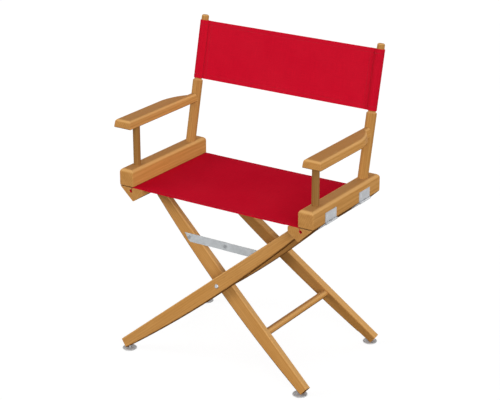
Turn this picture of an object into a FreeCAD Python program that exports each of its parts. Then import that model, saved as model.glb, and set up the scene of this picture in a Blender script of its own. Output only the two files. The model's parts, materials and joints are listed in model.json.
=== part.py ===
"""A folding director's chair: two side frames on two crossed leg frames, with a canvas seat and back.

Millimetres. The origin is on the floor under the middle of the leg frames. +X is the right-hand side
for someone facing the chair, -Y is its front and +Z is up.
"""

import FreeCAD, Part
import math
import os
import re
import Sketcher
from FreeCAD import Vector

SIZES = (
    ("rail_length", 340, "seat rail and hinge rail, front to back"),
    ("rail_middle_y", -6, "middle of the rails' length"),
    ("rail_inner_x", 254, "inner face of a seat rail"),
    ("rail_width", 44, "seat rail, across"),
    ("rail_bottom_z", 462, "underside of a seat rail"),
    ("rail_depth", 46.6, "seat rail, bottom to top"),
    ("rail_round", 11, "rounding of a seat rail's top edges"),
    ("rail_end_round", 3, "rounding of a seat rail's upright end edges"),
    ("rail_bottom_round", 2, "rounding of a seat rail's bottom edges"),
    ("socket_depth", 28, "post sockets in a seat rail"),
    ("glue_gap", 0.1, "room around a post or dowel in its socket"),
    ("cutter_spare", 10, "how far a cutting tool reaches out of the wood"),
    ("cutter_margin", 2, "how far a cutting tool reaches out of thin metal"),
    ("front_post_x", 275, "front post, from the middle"),
    ("front_post_y", -127.5, "front post, front to back"),
    ("front_post_width", 19.3, "front post diameter"),
    ("arm_socket", 11, "depth of the front post's socket in the arm"),
    ("back_post_x", 273, "back post, from the middle"),
    ("back_post_y", 115.1, "back post where it leaves the rail"),
    ("back_post_rake", 13, "lean of the back post, degrees"),
    ("back_post_width", 27.4, "back post diameter below its shoulder"),
    ("back_post_neck", 20, "back post diameter inside the canvas sleeve"),
    ("shoulder_rise", 171.8, "rail top to shoulder, along the post"),
    ("shoulder_slope", 3, "length of the shoulder's slope"),
    ("back_post_rise", 349.3, "rail top to post top, along the post"),
    ("post_cap_round", 5, "rounding of the back post's top"),
    ("arm_bottom_z", 617.5, "underside of an arm"),
    ("arm_thickness", 23, "arm board"),
    ("arm_front_y", -171, "front end of an arm"),
    ("arm_rear_y", 134, "rear end of an arm"),
    ("arm_inner_x", 261, "inner edge of an arm"),
    ("arm_outer_x", 315, "outer edge of an arm"),
    ("arm_taper_y", 30, "where an arm starts to narrow"),
    ("arm_neck_x", 285, "outer edge of an arm at the back post"),
    ("arm_neck_y", 112, "where an arm has narrowed"),
    ("arm_taper_radius", 160, "hollow curve of the arm's narrowing edge"),
    ("arm_side_slope", 8, "lean of an arm's edges, narrower at the top, degrees"),
    ("arm_round", 8.5, "rounding of an arm's top edges"),
    ("arm_bottom_round", 2.5, "rounding of an arm's bottom edges"),
    ("arm_cope_start", 77.3, "rail top to the lower end of the arm's cope, along the post"),
    ("arm_cope_length", 120, "cope in the arm, along the post"),
    ("arm_dowel_shift", 4, "middle of the post to the hidden dowel's rear end"),
    ("arm_dowel_width", 8, "hidden dowel from arm to back post, diameter"),
    ("arm_dowel_length", 30, "hidden dowel from arm to back post"),
    ("hinge_rail_top_z", 460.5, "top face of a hinge rail"),
    ("hinge_rail_outer_x", 295.9, "outer top edge of a hinge rail"),
    ("hinge_rail_slope", 43.1, "slope of a hinge rail's outer face, degrees"),
    ("hinge_rail_face", 55.4, "outer face of a hinge rail, across"),
    ("hinge_rail_tip_x", 225, "inner edge of a hinge rail"),
    ("hinge_rail_tip_z", 444, "bottom of a hinge rail's inner edge"),
    ("hinge_rail_round", 4, "rounding of a hinge rail's free edges"),
    ("hem_channel_x", 262, "channel for the seat's hem, across"),
    ("hem_channel_z", 451, "channel for the seat's hem, height"),
    ("hem_channel_width", 9.6, "channel for the seat's hem, diameter"),
    ("hem_mouth_x", 256, "mouth of the hem slot in the top face"),
    ("hem_mouth_width", 3.2, "width of the hem slot's mouth"),
    ("hem_cutter_rise", 3, "hem slot's cutting tool above the hinge rail"),
    ("pivot_z", 235, "height of the leg pivots"),
    ("leg_pitch", 40.12, "slope of a leg in its own plane, degrees"),
    ("leg_splay", 11, "lean of a leg's plane to the front or back, degrees"),
    ("outer_leg_y", 152.1, "outer legs' middle at the pivot, from the middle"),
    ("inner_leg_y", 126.7, "inner legs' middle at the pivot, from the middle"),
    ("leg_thickness", 20.4, "leg board"),
    ("leg_upper_edge", 19.8, "straight upper edge, from the leg's line"),
    ("leg_foot_run", 359, "pivot to foot along the leg"),
    ("leg_bow_radius", 3760, "bow of a leg's lower edge"),
    ("leg_bow_depth", 20.8, "deepest point of the bow, from the leg's line"),
    ("leg_bow_run", -38, "pivot to the bow's deepest point"),
    ("leg_bow_end", 285, "pivot to where the bow ends and the lower edge runs on straight"),
    ("leg_top_run", 329.6, "pivot to the leg's top, inside the hinge rail"),
    ("leg_round", 3.5, "rounding of a leg's long edges"),
    ("leg_dowel_width", 10, "hidden dowel from leg to hinge rail, diameter"),
    ("leg_dowel_start", 292, "pivot to the start of that dowel"),
    ("leg_dowel_length", 34, "length of that dowel"),
    ("rivet_width", 8, "pivot rivet shank diameter"),
    ("rivet_fit", 0.07, "running clearance around a pivot rivet"),
    ("rivet_head_width", 12, "pivot rivet head diameter"),
    ("rivet_head_height", 2.6, "pivot rivet head"),
    ("rivet_head_slope", 2, "how far a pivot rivet head narrows to its top, all round"),
    ("rivet_seat_depth", 1.4, "flat cut into a leg for a rivet head, at its middle"),
    ("rivet_play", 0.1, "room under a pivot rivet's heads, so that a leg can turn on it"),
    ("rivet_seat_play", 0.5, "room around a pivot rivet's head in its flat"),
    ("spacer_width", 14, "washer between two legs, diameter"),
    ("spacer_thickness", 1.6, "washer between two legs"),
    ("stretcher_width", 20, "stretcher dowel diameter"),
    ("stretcher_x", 137, "stretcher, from the middle"),
    ("stretcher_z", 126.4, "stretcher height"),
    ("stretcher_inset", 3, "stretcher end past the middle of each leg"),
    ("glide_width", 39, "floor glide diameter"),
    ("glide_height", 3, "floor glide plate"),
    ("glide_round", 1.5, "rounding of a glide's upper rim"),
    ("glide_chamfer", 0.5, "chamfer of a glide's lower rim"),
    ("glide_clearance", 0.1, "room between a glide and its leg"),
    ("glide_x", 264.5, "floor glide, from the middle"),
    ("glide_nail_width", 5, "glide nail diameter"),
    ("glide_nail_top_z", 26, "top of a glide's nail"),
    ("glide_nail_root", 1, "glide's nail below its plate's top face"),
    ("hinge_pin_x", 300.8, "hinge pin, from the middle"),
    ("hinge_pin_z", 461.25, "hinge pin height"),
    ("hinge_spacing", 170, "middle of one hinge to the other"),
    ("hinge_length", 54, "hinge leaf, front to back"),
    ("hinge_leaf_reach", 29, "hinge pin to a leaf's edge"),
    ("hinge_leaf_thickness", 1.4, "hinge leaf"),
    ("hinge_knuckle_width", 5.6, "hinge knuckle diameter"),
    ("hinge_pin_width", 3.2, "hinge pin diameter"),
    ("hinge_pin_fit", 0.05, "running clearance around a hinge pin"),
    ("hinge_play", 0.4, "gap between two knuckles"),
    ("hinge_lap", 1, "hinge leaf's flat part inside its knuckles' line"),
    ("screw_head_width", 6.4, "hinge screw head diameter"),
    ("screw_width", 3, "hinge screw shank diameter"),
    ("screw_length", 14, "hinge screw"),
    ("screw_reach", 18, "hinge pin to a screw"),
    ("screw_spacing", 34, "middle of one screw to the other in a leaf"),
    ("screw_fit", 0.1, "room around a hinge screw"),
    ("screw_spare", 1, "hole past a screw's tip"),
    ("brace_z", 331, "brace, middle of its height"),
    ("brace_x", 116, "brace end pivots, from the middle"),
    ("brace_depth", 22, "brace strap, bottom to top"),
    ("brace_thickness", 1.3, "brace strap"),
    ("brace_gap", 0.3, "room between the rear strap and its leg"),
    ("brace_strap_gap", 0.2, "room between the two straps"),
    ("brace_overlap", 4, "straight part of a strap past the middle rivet"),
    ("brace_end_radius", 11.2, "round end of a strap"),
    ("brace_end_low", 4, "strap end behind its pivot at the bottom edge"),
    ("brace_end_high", 15, "strap end beyond its pivot at the top edge"),
    ("brace_rivet_width", 5, "brace rivet shank diameter"),
    ("brace_rivet_head", 9, "brace rivet head diameter"),
    ("brace_rivet_rise", 0.9, "brace rivet head"),
    ("brace_rivet_play", 0.1, "room under a brace rivet's heads"),
    ("brace_screw_depth", 12, "brace end pivot in its leg"),
    ("brace_pin_rear", 0.6, "brace end pin behind its strap"),
    ("brace_pin_front", 0.7, "brace end pin in front of its strap"),
    ("canvas_thickness", 0.9, "seat canvas"),
    ("canvas_margin", 1, "rail end to seat canvas"),
    ("rod_width", 6, "seat rod diameter"),
    ("rod_margin", 9, "rail end to seat rod"),
    ("hem_width", 8.6, "seat hem around its rod, diameter"),
    ("hem_bore_width", 6.4, "inside of the seat hem, diameter"),
    ("hem_neck_shift", 0.6, "hem's neck from the rod's middle, towards the seat"),
    ("hem_neck_rise", 3.6, "hem's neck above the rod's middle"),
    ("seat_sheet_lap", 0.5, "flat seat sheet past the middle of the slot's mouth"),
    ("back_canvas_start", 174.8, "rail top to the back canvas, along the post"),
    ("back_canvas_depth", 159.5, "back canvas, along the post"),
    ("sleeve_bore_width", 20.6, "inside of a back canvas sleeve, diameter"),
    ("sleeve_width", 24.6, "outside of a back canvas sleeve, diameter"),
    ("back_canvas_thickness", 1.6, "back canvas panel"),
    ("back_canvas_forward", 2, "middle of the back canvas panel, in front of the posts' axes"),
)
NAMES = {name for name, size, note in SIZES}
SIDES = {"left": -1, "right": 1}
EPS = 1e-6

doc = FreeCAD.newDocument("directors_chair")
sheet = doc.addObject("Spreadsheet::Sheet", "Sizes")
for row, (name, size, note) in enumerate(SIZES, 1):
    sheet.set("A%d" % row, note)
    sheet.set("B%d" % row, str(size))
    sheet.setAlias("B%d" % row, name)
doc.recompute()

subparts = []


# ---- helpers -------------------------------------------------------------------------------------


def formula(text):
    """Points each size name in a formula at its cell in the sheet."""
    return re.sub(r"[a-z_]+", lambda word: "Sizes." + word[0] if word[0] in NAMES else word[0], str(text))


def value(text):
    """The number a formula gives."""
    return float(sheet.evalExpression(formula(text)))


def bind(thing, **formulas):
    """Ties properties of an object to formulas."""
    for name, text in formulas.items():
        thing.setExpression(name, formula(text))
    return thing


def place(thing, x, y, z, turn="rotationz(0)"):
    """Ties an object's placement to formulas for its position and its rotation."""
    thing.setExpression("Placement", formula("placement(vector(%s; %s; %s); %s)" % (x, y, z, turn)))
    return thing


def keep(thing, name):
    """Makes an object a sub-part with a name of its own."""
    thing.Label = name
    subparts.append(thing)
    return thing


def cylinder(name, width, length):
    """A cylinder that stands on its own origin along +Z."""
    thing = doc.addObject("Part::Cylinder", name)
    return bind(thing, Radius="(%s) / 2" % width, Height=length)


def block(name, length, width, height):
    """A box from its own origin along +X, +Y and +Z."""
    return bind(doc.addObject("Part::Box", name), Length=length, Width=width, Height=height)


def cut(name, base, tools):
    """base with every tool taken away."""
    tool = tools[0]
    if len(tools) > 1:
        tool = doc.addObject("Part::MultiFuse", name + "_tools")
        tool.Shapes = tools
    thing = doc.addObject("Part::Cut", name)
    thing.Base = base
    thing.Tool = tool
    return thing


def fuse(name, pieces):
    """Pieces joined into one object; pieces that don't touch stay separate solids in it."""
    thing = doc.addObject("Part::MultiFuse", name)
    thing.Shapes = pieces
    return thing


def new_body(name):
    return doc.addObject("PartDesign::Body", name)


def sketch_on(body, name, plane, offset="0"):
    """An empty sketch on one of the body's own origin planes, lifted along its normal."""
    sketch = body.newObject("Sketcher::SketchObject", name)
    origin_plane = [f for f in body.Origin.OriginFeatures if f.Role == plane][0]
    sketch.AttachmentSupport = [(origin_plane, "")]
    sketch.MapMode = "FlatFace"
    sketch.setExpression("AttachmentOffset.Base.z", formula(offset))
    return sketch


def pin_point(sketch, edge, end, x, y):
    """Holds one end of an edge at formulas for x and y."""
    for kind, text in (("DistanceX", x), ("DistanceY", y)):
        number = sketch.addConstraint(Sketcher.Constraint(kind, -1, 1, edge, end, value(text)))
        sketch.setExpression("Constraints[%d]" % number, formula(text))


def outline(sketch, corners, arcs=None):
    """A closed outline through corners given as formula pairs.

    arcs maps the number of a side to (radius formula, +1 or -1), where +1 bulges to the right of its way.
    """
    arcs = arcs or {}
    points = [Vector(value(x), value(y), 0) for x, y in corners]
    starts = []
    for i, start in enumerate(points):
        end = points[(i + 1) % len(points)]
        if i not in arcs:
            sketch.addGeometry(Part.LineSegment(start, end), False)
            starts.append(1)
            continue
        radius, way = value(arcs[i][0]), arcs[i][1]
        chord = end - start
        sag = radius - math.sqrt(max(radius**2 - (chord.Length / 2) ** 2, 0))
        right = Vector(chord.y, -chord.x, 0).normalize()
        arc = Part.Arc(start, (start + end) / 2 + right * sag * way, end)
        sketch.addGeometry(arc, False)
        first = sketch.getPoint(i, 1)
        starts.append(1 if first.distanceToPoint(start) < first.distanceToPoint(end) else 2)
    for i in range(len(points)):
        following = (i + 1) % len(points)
        meeting = Sketcher.Constraint("Coincident", i, 3 - starts[i], following, starts[following])
        sketch.addConstraint(meeting)
    for i, (x, y) in enumerate(corners):
        pin_point(sketch, i, starts[i], x, y)
    for i, (radius, way) in arcs.items():
        number = sketch.addConstraint(Sketcher.Constraint("Radius", i, value(radius)))
        sketch.setExpression("Constraints[%d]" % number, formula(radius))


def pad(body, name, profile, length, symmetric=False):
    thing = body.newObject("PartDesign::Pad", name)
    thing.Profile = profile
    thing.SideType = "Symmetric" if symmetric else "One side"
    bind(thing, Length=length)
    doc.recompute()
    return thing


def round_edges(body, name, base, radius, chosen):
    """A fillet on the edges of base that pass the test."""
    thing = body.newObject("PartDesign::Fillet", name)
    names = ["Edge%d" % i for i, edge in enumerate(base.Shape.Edges, 1) if chosen(edge)]
    thing.Base = (base, names)
    bind(thing, Radius=radius)
    doc.recompute()
    return thing


def runs_along(edge, axis):
    """Whether an edge's longest extent is along the axis x, y or z."""
    box = edge.BoundBox
    spans = {"x": box.XLength, "y": box.YLength, "z": box.ZLength}
    return spans[axis] > 0.9 * max(spans.values())


# ---- wooden side frames --------------------------------------------------------------------------


def post_cutter(name, side, width, start, length):
    """A cylinder along a back post's axis, from start above the rail top."""
    lean = "rotationx(-back_post_rake)"
    foot = "(%s)" % start
    return place(
        cylinder(name, width, length),
        "%d * back_post_x" % side,
        "back_post_y + %s * sin(back_post_rake)" % foot,
        "rail_bottom_z + rail_depth + %s * cos(back_post_rake)" % foot,
        lean,
    )


def screw_place(thing, side, leaf, along, depth):
    """Places a screw or its hole in a hinge leaf; depth is how far its axis starts outside the leaf."""
    if leaf == "upper":
        return place(
            thing,
            "%d * (hinge_pin_x - hinge_knuckle_width / 2 + hinge_leaf_thickness + %s)" % (side, depth),
            along,
            "hinge_pin_z + screw_reach",
            "rotationy(%d * -90)" % side,
        )
    reach = "screw_reach"
    out = "(hinge_leaf_thickness - hinge_knuckle_width / 2 + %s)" % depth
    return place(
        thing,
        "%d * (hinge_pin_x - %s * cos(hinge_rail_slope) + %s * sin(hinge_rail_slope))" % (side, reach, out),
        along,
        "hinge_pin_z - %s * sin(hinge_rail_slope) - %s * cos(hinge_rail_slope)" % (reach, out),
        "rotationy(%d * -hinge_rail_slope)" % side,
    )


def screw_rows():
    """The y of every hinge screw on one leaf side, with a short label."""
    rows = []
    for hinge, hinge_way in (("front", -1), ("rear", 1)):
        for screw_way in (-1, 1):
            label = "%s_%d" % (hinge, screw_way + 2)
            along = "rail_middle_y + %d * hinge_spacing / 2 + %d * screw_spacing / 2" % (hinge_way, screw_way)
            rows.append((label, along))
    return rows


def screw_holes(name, side, leaf):
    """Cylinders that clear the screws' shanks out of a rail."""
    holes = []
    width, length = "screw_width + 2 * screw_fit", "screw_length + screw_spare"
    for label, along in screw_rows():
        hole = cylinder("%s_hole_%s" % (name, label), width, length)
        holes.append(screw_place(hole, side, leaf, along, "0"))
    return holes


def seat_rail(word, side):
    """A thick bar with rounded edges, bored for both posts and the hinge screws."""
    name = word + "_seat_rail"
    body = new_body(name + "_bar")
    profile = sketch_on(body, name + "_section", "XZ_Plane", "-(rail_middle_y)")
    near = "%d * rail_inner_x" % side
    far = "%d * (rail_inner_x + rail_width)" % side
    bottom = "rail_bottom_z"
    top = "rail_bottom_z + rail_depth"
    outline(profile, [(near, bottom), (far, bottom), (far, top), (near, top)])
    bar = pad(body, name + "_pad", profile, "rail_length", symmetric=True)
    low = value("rail_bottom_z") + EPS
    high = value("rail_bottom_z + rail_depth") - EPS
    roundings = (
        ("rail_round", lambda edge: edge.BoundBox.ZMin > high),
        ("rail_end_round", lambda edge: runs_along(edge, "z")),
        ("rail_bottom_round", lambda edge: edge.BoundBox.ZMax < low),
    )
    for radius, chosen in roundings:
        bar = round_edges(body, "%s_%s" % (word, radius), bar, radius, chosen)
    socket_width = "front_post_width + 2 * glue_gap"
    holes = [
        post_cutter(
            name + "_back_socket",
            side,
            "back_post_width + 2 * glue_gap",
            "-socket_depth",
            "socket_depth + 2 * cutter_spare",
        ),
        place(
            cylinder(name + "_front_socket", socket_width, "socket_depth + cutter_spare"),
            "%d * front_post_x" % side,
            "front_post_y",
            "rail_bottom_z + rail_depth - socket_depth",
        ),
    ]
    return keep(cut(name, body, holes + screw_holes(name, side, "upper")), name)


def front_post(word, side):
    """A plain dowel from the seat rail into the arm."""
    name = word + "_front_post"
    base = "rail_bottom_z + rail_depth - socket_depth"
    length = "arm_bottom_z + arm_socket - (%s) - 2 * glue_gap" % base
    post = cylinder(name, "front_post_width", length)
    return keep(place(post, "%d * front_post_x" % side, "front_post_y", base + " + glue_gap"), name)


def back_post(word, side):
    """A turned post: thick up to its shoulder, thinner where the canvas sleeve goes, rounded at the top."""
    name = word + "_back_post"
    body = new_body(name + "_turning")
    profile = sketch_on(body, name + "_half", "XZ_Plane")
    thick = "back_post_width / 2"
    thin = "back_post_neck / 2"
    foot = "glue_gap - socket_depth"
    outline(
        profile,
        [
            ("0", foot),
            (thick, foot),
            (thick, "shoulder_rise - shoulder_slope"),
            (thin, "shoulder_rise"),
            (thin, "back_post_rise - post_cap_round"),
            (thin + " - post_cap_round", "back_post_rise"),
            ("0", "back_post_rise"),
        ],
        arcs={4: ("post_cap_round", 1)},
    )
    turning = body.newObject("PartDesign::Revolution", name + "_turned")
    turning.Profile = profile
    turning.ReferenceAxis = (profile, ["V_Axis"])
    turning.Angle = 360
    place(
        body,
        "%d * back_post_x" % side,
        "back_post_y",
        "rail_bottom_z + rail_depth",
        "rotationx(-back_post_rake)",
    )
    return keep(cut(name, body, [arm_dowel_hole(name, side)]), name)


def arm_dowel_at(thing, side, margin):
    """Places the dowel, or its hole with a margin at each end, level across arm and post."""
    rise = "(arm_bottom_z + arm_thickness / 2 - rail_bottom_z - rail_depth)"
    post_y = "back_post_y + %s * tan(back_post_rake)" % rise
    return place(
        thing,
        "%d * back_post_x" % side,
        "%s + arm_dowel_shift + %s" % (post_y, margin),
        "arm_bottom_z + arm_thickness / 2",
        "rotationx(90)",
    )


def arm_dowel_hole(name, side):
    """The hole for the hidden dowel, in the arm or in the post."""
    hole = cylinder(name + "_dowel_hole", "arm_dowel_width + 2 * glue_gap", "arm_dowel_length + 2 * glue_gap")
    return arm_dowel_at(hole, side, "glue_gap")


def arm_dowel(word, side):
    """A hidden dowel from the arm's end into the back post."""
    name = word + "_arm_dowel"
    return keep(arm_dowel_at(cylinder(name, "arm_dowel_width", "arm_dowel_length"), side, "0"), name)


def arm(word, side):
    """A board with rounded top edges, narrowing to the back post and coped against it."""
    name = word + "_arm"
    body = new_body(name + "_board")
    profile = sketch_on(body, name + "_plan", "XY_Plane", "arm_bottom_z")
    inner = "%d * arm_inner_x" % side
    outer = "%d * arm_outer_x" % side
    neck = "%d * arm_neck_x" % side
    outline(
        profile,
        [
            (inner, "arm_front_y"),
            (outer, "arm_front_y"),
            (outer, "arm_taper_y"),
            (neck, "arm_neck_y"),
            (neck, "arm_rear_y"),
            (inner, "arm_rear_y"),
        ],
        arcs={2: ("arm_taper_radius", side)},
    )
    board = pad(body, name + "_pad", profile, "arm_thickness")
    bind(board, TaperAngle="-arm_side_slope")
    doc.recompute()
    middle = value("arm_bottom_z + arm_thickness / 2")
    rear = value("arm_neck_y")
    for tag, way in (("top", 1), ("bottom", -1)):
        board = round_edges(
            body,
            "%s_%s_round" % (name, tag),
            board,
            "arm_round" if way > 0 else "arm_bottom_round",
            lambda edge: (
                way * edge.BoundBox.ZMin > way * middle
                and way * edge.BoundBox.ZMax > way * middle
                and edge.BoundBox.YMin < rear
            ),
        )
    socket = place(
        cylinder(name + "_socket", "front_post_width + 2 * glue_gap", "arm_socket + cutter_spare"),
        "%d * front_post_x" % side,
        "front_post_y",
        "arm_bottom_z - cutter_spare",
    )
    cope_width = "back_post_width + 2 * glue_gap"
    cope = post_cutter(name + "_cope", side, cope_width, "arm_cope_start", "arm_cope_length")
    return keep(cut(name, body, [socket, cope, arm_dowel_hole(name, side)]), name)


# ---- wooden leg frames ---------------------------------------------------------------------------


def hinge_rail_corners(side):
    """The four corners of a hinge rail's section, from its outer top edge round to its inner top edge."""
    low_x = "(hinge_rail_outer_x - hinge_rail_face * cos(hinge_rail_slope))"
    low_z = "hinge_rail_top_z - hinge_rail_face * sin(hinge_rail_slope)"
    return [
        ("%d * hinge_rail_outer_x" % side, "hinge_rail_top_z"),
        ("%d * %s" % (side, low_x), low_z),
        ("%d * hinge_rail_tip_x" % side, "hinge_rail_tip_z"),
        ("%d * hinge_rail_tip_x" % side, "hinge_rail_top_z"),
    ]


def hinge_rail_prism(name, side):
    """A hinge rail's section run along its length, with sharp edges."""
    body = new_body(name)
    profile = sketch_on(body, name + "_section", "XZ_Plane", "-(rail_middle_y)")
    outline(profile, hinge_rail_corners(side))
    return body, pad(body, name + "_pad", profile, "rail_length", symmetric=True)


def leg_point(along, across, side):
    """A point in a leg's plane from its place along the leg and across it; up is positive in both."""
    x = "%d * ((%s) * cos(leg_pitch) - (%s) * sin(leg_pitch))" % (side, along, across)
    return x, "(%s) * sin(leg_pitch) + (%s) * cos(leg_pitch)" % (along, across)


def bow_edge(along):
    """The lower edge's place across a leg, on the bow."""
    run = "((%s) - leg_bow_run)" % along
    return "leg_bow_radius - leg_bow_depth - sqrt(leg_bow_radius ^ 2 - %s ^ 2)" % run


def leg_top_edge():
    """The lower edge's place across a leg at its top, straight on from the bow's end."""
    run = "(leg_bow_end - leg_bow_run)"
    slope = "%s / sqrt(leg_bow_radius ^ 2 - %s ^ 2)" % (run, run)
    return "%s + (leg_top_run - leg_bow_end) * %s" % (bow_edge("leg_bow_end"), slope)


def leg_turn(end):
    """The rotation of a leg's plane: end is -1 for a front leg and 1 for a rear leg."""
    return "rotationx(90 + %d * leg_splay)" % end


def leg_y(frame_side, end):
    """The y of a leg's middle at the pivot: the frame's outer leg is at its own end of the chair."""
    outer = frame_side * end < 0
    return "%d * %s" % (end, "outer_leg_y" if outer else "inner_leg_y")


def leg_y_at(frame_side, end, height):
    """The y of a leg's middle at a height."""
    return "%s - %d * (%s - pivot_z) * tan(leg_splay)" % (leg_y(frame_side, end), end, height)


def leg_dowel(name, side, end, width, start, length):
    """A cylinder along a leg, half-way between the edges of its top."""
    x, rise = leg_point(start, "leg_upper_edge / 2", side)
    return place(
        cylinder(name, width, length),
        x,
        "%s - %d * (%s) * sin(leg_splay)" % (leg_y(side, end), end, rise),
        "pivot_z + (%s) * cos(leg_splay)" % rise,
        "%s * rotationz(%d * (leg_pitch - 90)) * rotationx(-90)" % (leg_turn(end), side),
    )


def hinge_rail(word, side):
    """A wedge-section rail with a keyhole slot for the seat's hem, bored for the leg dowels and screws."""
    name = word + "_hinge_rail"
    body, bar = hinge_rail_prism(name + "_bar", side)
    tip = value("hinge_rail_tip_x")
    low = value("hinge_rail_tip_z") - 1
    top = value("hinge_rail_top_z") - EPS

    def free_edge(edge):
        box = edge.BoundBox
        at_tip = max(abs(box.XMin), abs(box.XMax)) < tip + EPS and box.ZMin > top
        return runs_along(edge, "y") and (at_tip or box.ZMax < low)

    round_edges(body, name + "_round", bar, "hinge_rail_round", free_edge)
    start = "rail_middle_y + rail_length / 2 + cutter_spare / 2"
    channel = place(
        cylinder(name + "_channel", "hem_channel_width", "rail_length + cutter_spare"),
        "%d * hem_channel_x" % side,
        start,
        "hem_channel_z",
        "rotationx(90)",
    )
    mouth_body = new_body(name + "_mouth")
    mouth = sketch_on(mouth_body, name + "_mouth_section", "XZ_Plane", "-(rail_middle_y)")
    high = "hinge_rail_top_z + hem_cutter_rise"
    shift = "(hem_channel_x - hem_mouth_x)"
    outline(
        mouth,
        [
            ("%d * (hem_channel_x - hem_mouth_width / 2)" % side, "hem_channel_z"),
            ("%d * (hem_channel_x + hem_mouth_width / 2)" % side, "hem_channel_z"),
            ("%d * (hem_channel_x + hem_mouth_width / 2 - %s)" % (side, shift), high),
            ("%d * (hem_channel_x - hem_mouth_width / 2 - %s)" % (side, shift), high),
        ],
    )
    pad(mouth_body, name + "_mouth_pad", mouth, "rail_length + cutter_spare", symmetric=True)
    tools = [channel, mouth_body] + screw_holes(name, side, "lower")
    for end, label in ((-1, "front"), (1, "rear")):
        tools.append(
            leg_dowel(
                "%s_%s_dowel_hole" % (name, label),
                side,
                end,
                "leg_dowel_width + 2 * glue_gap",
                "leg_dowel_start",
                "leg_dowel_length + glue_gap",
            )
        )
    return keep(cut(name, body, tools), name)


def leg(frame, side, label, end):
    """A leg board in its splayed plane: straight upper edge, bowed lower edge, butted to the hinge rail."""
    name = "%s_leg_%s" % (label, frame)
    body = new_body(name + "_board")
    profile = sketch_on(body, name + "_outline", "XY_Plane")
    corners = [
        leg_point("-leg_foot_run", "leg_upper_edge", side),
        leg_point("-leg_foot_run", bow_edge("-leg_foot_run"), side),
        leg_point("leg_bow_end", bow_edge("leg_bow_end"), side),
        leg_point("leg_top_run", leg_top_edge(), side),
        leg_point("leg_top_run", "leg_upper_edge", side),
    ]
    outline(profile, corners, arcs={1: ("leg_bow_radius", side)})
    board = pad(body, name + "_pad", profile, "leg_thickness", symmetric=True)
    across = 2 * value("leg_upper_edge")
    round_edges(body, name + "_round", board, "leg_round", lambda edge: edge.Length > across)
    place(body, "0", leg_y(side, end), "pivot_z", leg_turn(end))
    rail, _ = hinge_rail_prism(name + "_rail_trim", side)
    low = "glide_height + glide_clearance"
    floor_y = leg_y_at(side, end, low)
    trim = block(name + "_floor_trim", "2 * glide_width", "2 * glide_width", "2 * cutter_spare")
    place(trim, "%d * glide_x - glide_width" % -side, floor_y + " - glide_width", low + " - 2 * cutter_spare")
    nail = glide_nail(name + "_nail_hole", side, end, "glide_nail_width + 2 * glue_gap", "glue_gap")
    pivot = pivot_bore(name + "_pivot_bore", leg_y(side, end))
    dowel = leg_dowel(
        name + "_dowel_hole",
        side,
        end,
        "leg_dowel_width + 2 * glue_gap",
        "leg_dowel_start - glue_gap",
        "leg_dowel_length",
    )
    tools = [rail, trim, nail, pivot, dowel, stretcher_hole(name, side, end), rivet_seat(name, side, end)]
    if end < 0:
        tools.append(brace_screw_hole(name, side))
    return keep(cut(name, body, tools), name)


def pivot_bore(name, middle):
    """The bore for a pivot rivet, right through a leg."""
    bore = cylinder(name, "rivet_width + 2 * rivet_fit", "leg_thickness + 4 * cutter_spare")
    return place(bore, "0", "%s + leg_thickness / 2 + 2 * cutter_spare" % middle, "pivot_z", "rotationx(90)")


def leg_face_y(side, end, way):
    """The y of a leg's face at its pivot: way is -1 for the face to the front and 1 for the one behind."""
    return "%s + %d * leg_thickness / 2 / cos(leg_splay)" % (leg_y(side, end), way)


def rivet_seat(name, side, end):
    """A flat in an outer leg's outer face, or an inner leg's inner face, for a rivet head."""
    outer = side * end < 0
    way = end if outer else -end
    seat = cylinder(name + "_rivet_seat", "rivet_head_width + 2 * rivet_seat_play", "cutter_spare")
    deep = "%s - %d * rivet_seat_depth" % (leg_face_y(side, end, way), way)
    return place(seat, "0", deep, "pivot_z", "rotationx(%d * -90)" % way)


def pivot_rivet(label, end):
    """A rivet through both legs of one crossing, with a head in the flat at each end."""
    name = label + "_pivot_rivet"
    outer_side = -end
    outer = "(%s - %d * (rivet_seat_depth - rivet_play))" % (leg_face_y(outer_side, end, end), end)
    inner = "(%s + %d * (rivet_seat_depth - rivet_play))" % (leg_face_y(-outer_side, end, -end), end)
    shank = cylinder(name + "_shank", "rivet_width", "abs(%s - %s)" % (outer, inner))
    front = outer if end < 0 else inner
    place(shank, "0", front, "pivot_z", "rotationx(-90)")
    rear = inner if end < 0 else outer
    heads = []
    for tag, seat, way in (("front", front, -1), ("rear", rear, 1)):
        head = bind(
            doc.addObject("Part::Cone", "%s_%s_head" % (name, tag)),
            Radius1="rivet_head_width / 2",
            Radius2="rivet_head_width / 2 - rivet_head_slope",
            Height="rivet_head_height",
        )
        heads.append(place(head, "0", seat, "pivot_z", "rotationx(%d * -90)" % way))
    return keep(fuse(name, [shank] + heads), name)


def pivot_spacer(label, end):
    """A washer on the rivet, between the two legs of one crossing."""
    name = label + "_pivot_spacer"
    middle = "%d * (outer_leg_y + inner_leg_y) / 2 + spacer_thickness / 2" % end
    disc = cylinder(name + "_disc", "spacer_width", "spacer_thickness")
    place(disc, "0", middle, "pivot_z", "rotationx(90)")
    bore = place(
        cylinder(name + "_bore", "rivet_width + 2 * rivet_fit", "spacer_thickness + 2 * cutter_margin"),
        "0",
        middle + " + cutter_margin",
        "pivot_z",
        "rotationx(90)",
    )
    return keep(cut(name, disc, [bore]), name)


def leg_dowels(frame, side):
    """The hidden dowels between one hinge rail and its two legs."""
    name = "leg_dowels_" + frame
    length = "leg_dowel_length - glue_gap"
    dowels = [
        leg_dowel("%s_%s" % (name, label), side, end, "leg_dowel_width", "leg_dowel_start", length)
        for end, label in ((-1, "front"), (1, "rear"))
    ]
    return keep(fuse(name, dowels), name)


def stretcher_end(side, end):
    """The y of a stretcher's end, inside a leg."""
    return "(%s + %d * stretcher_inset)" % (leg_y_at(side, end, "stretcher_z"), end)


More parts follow.
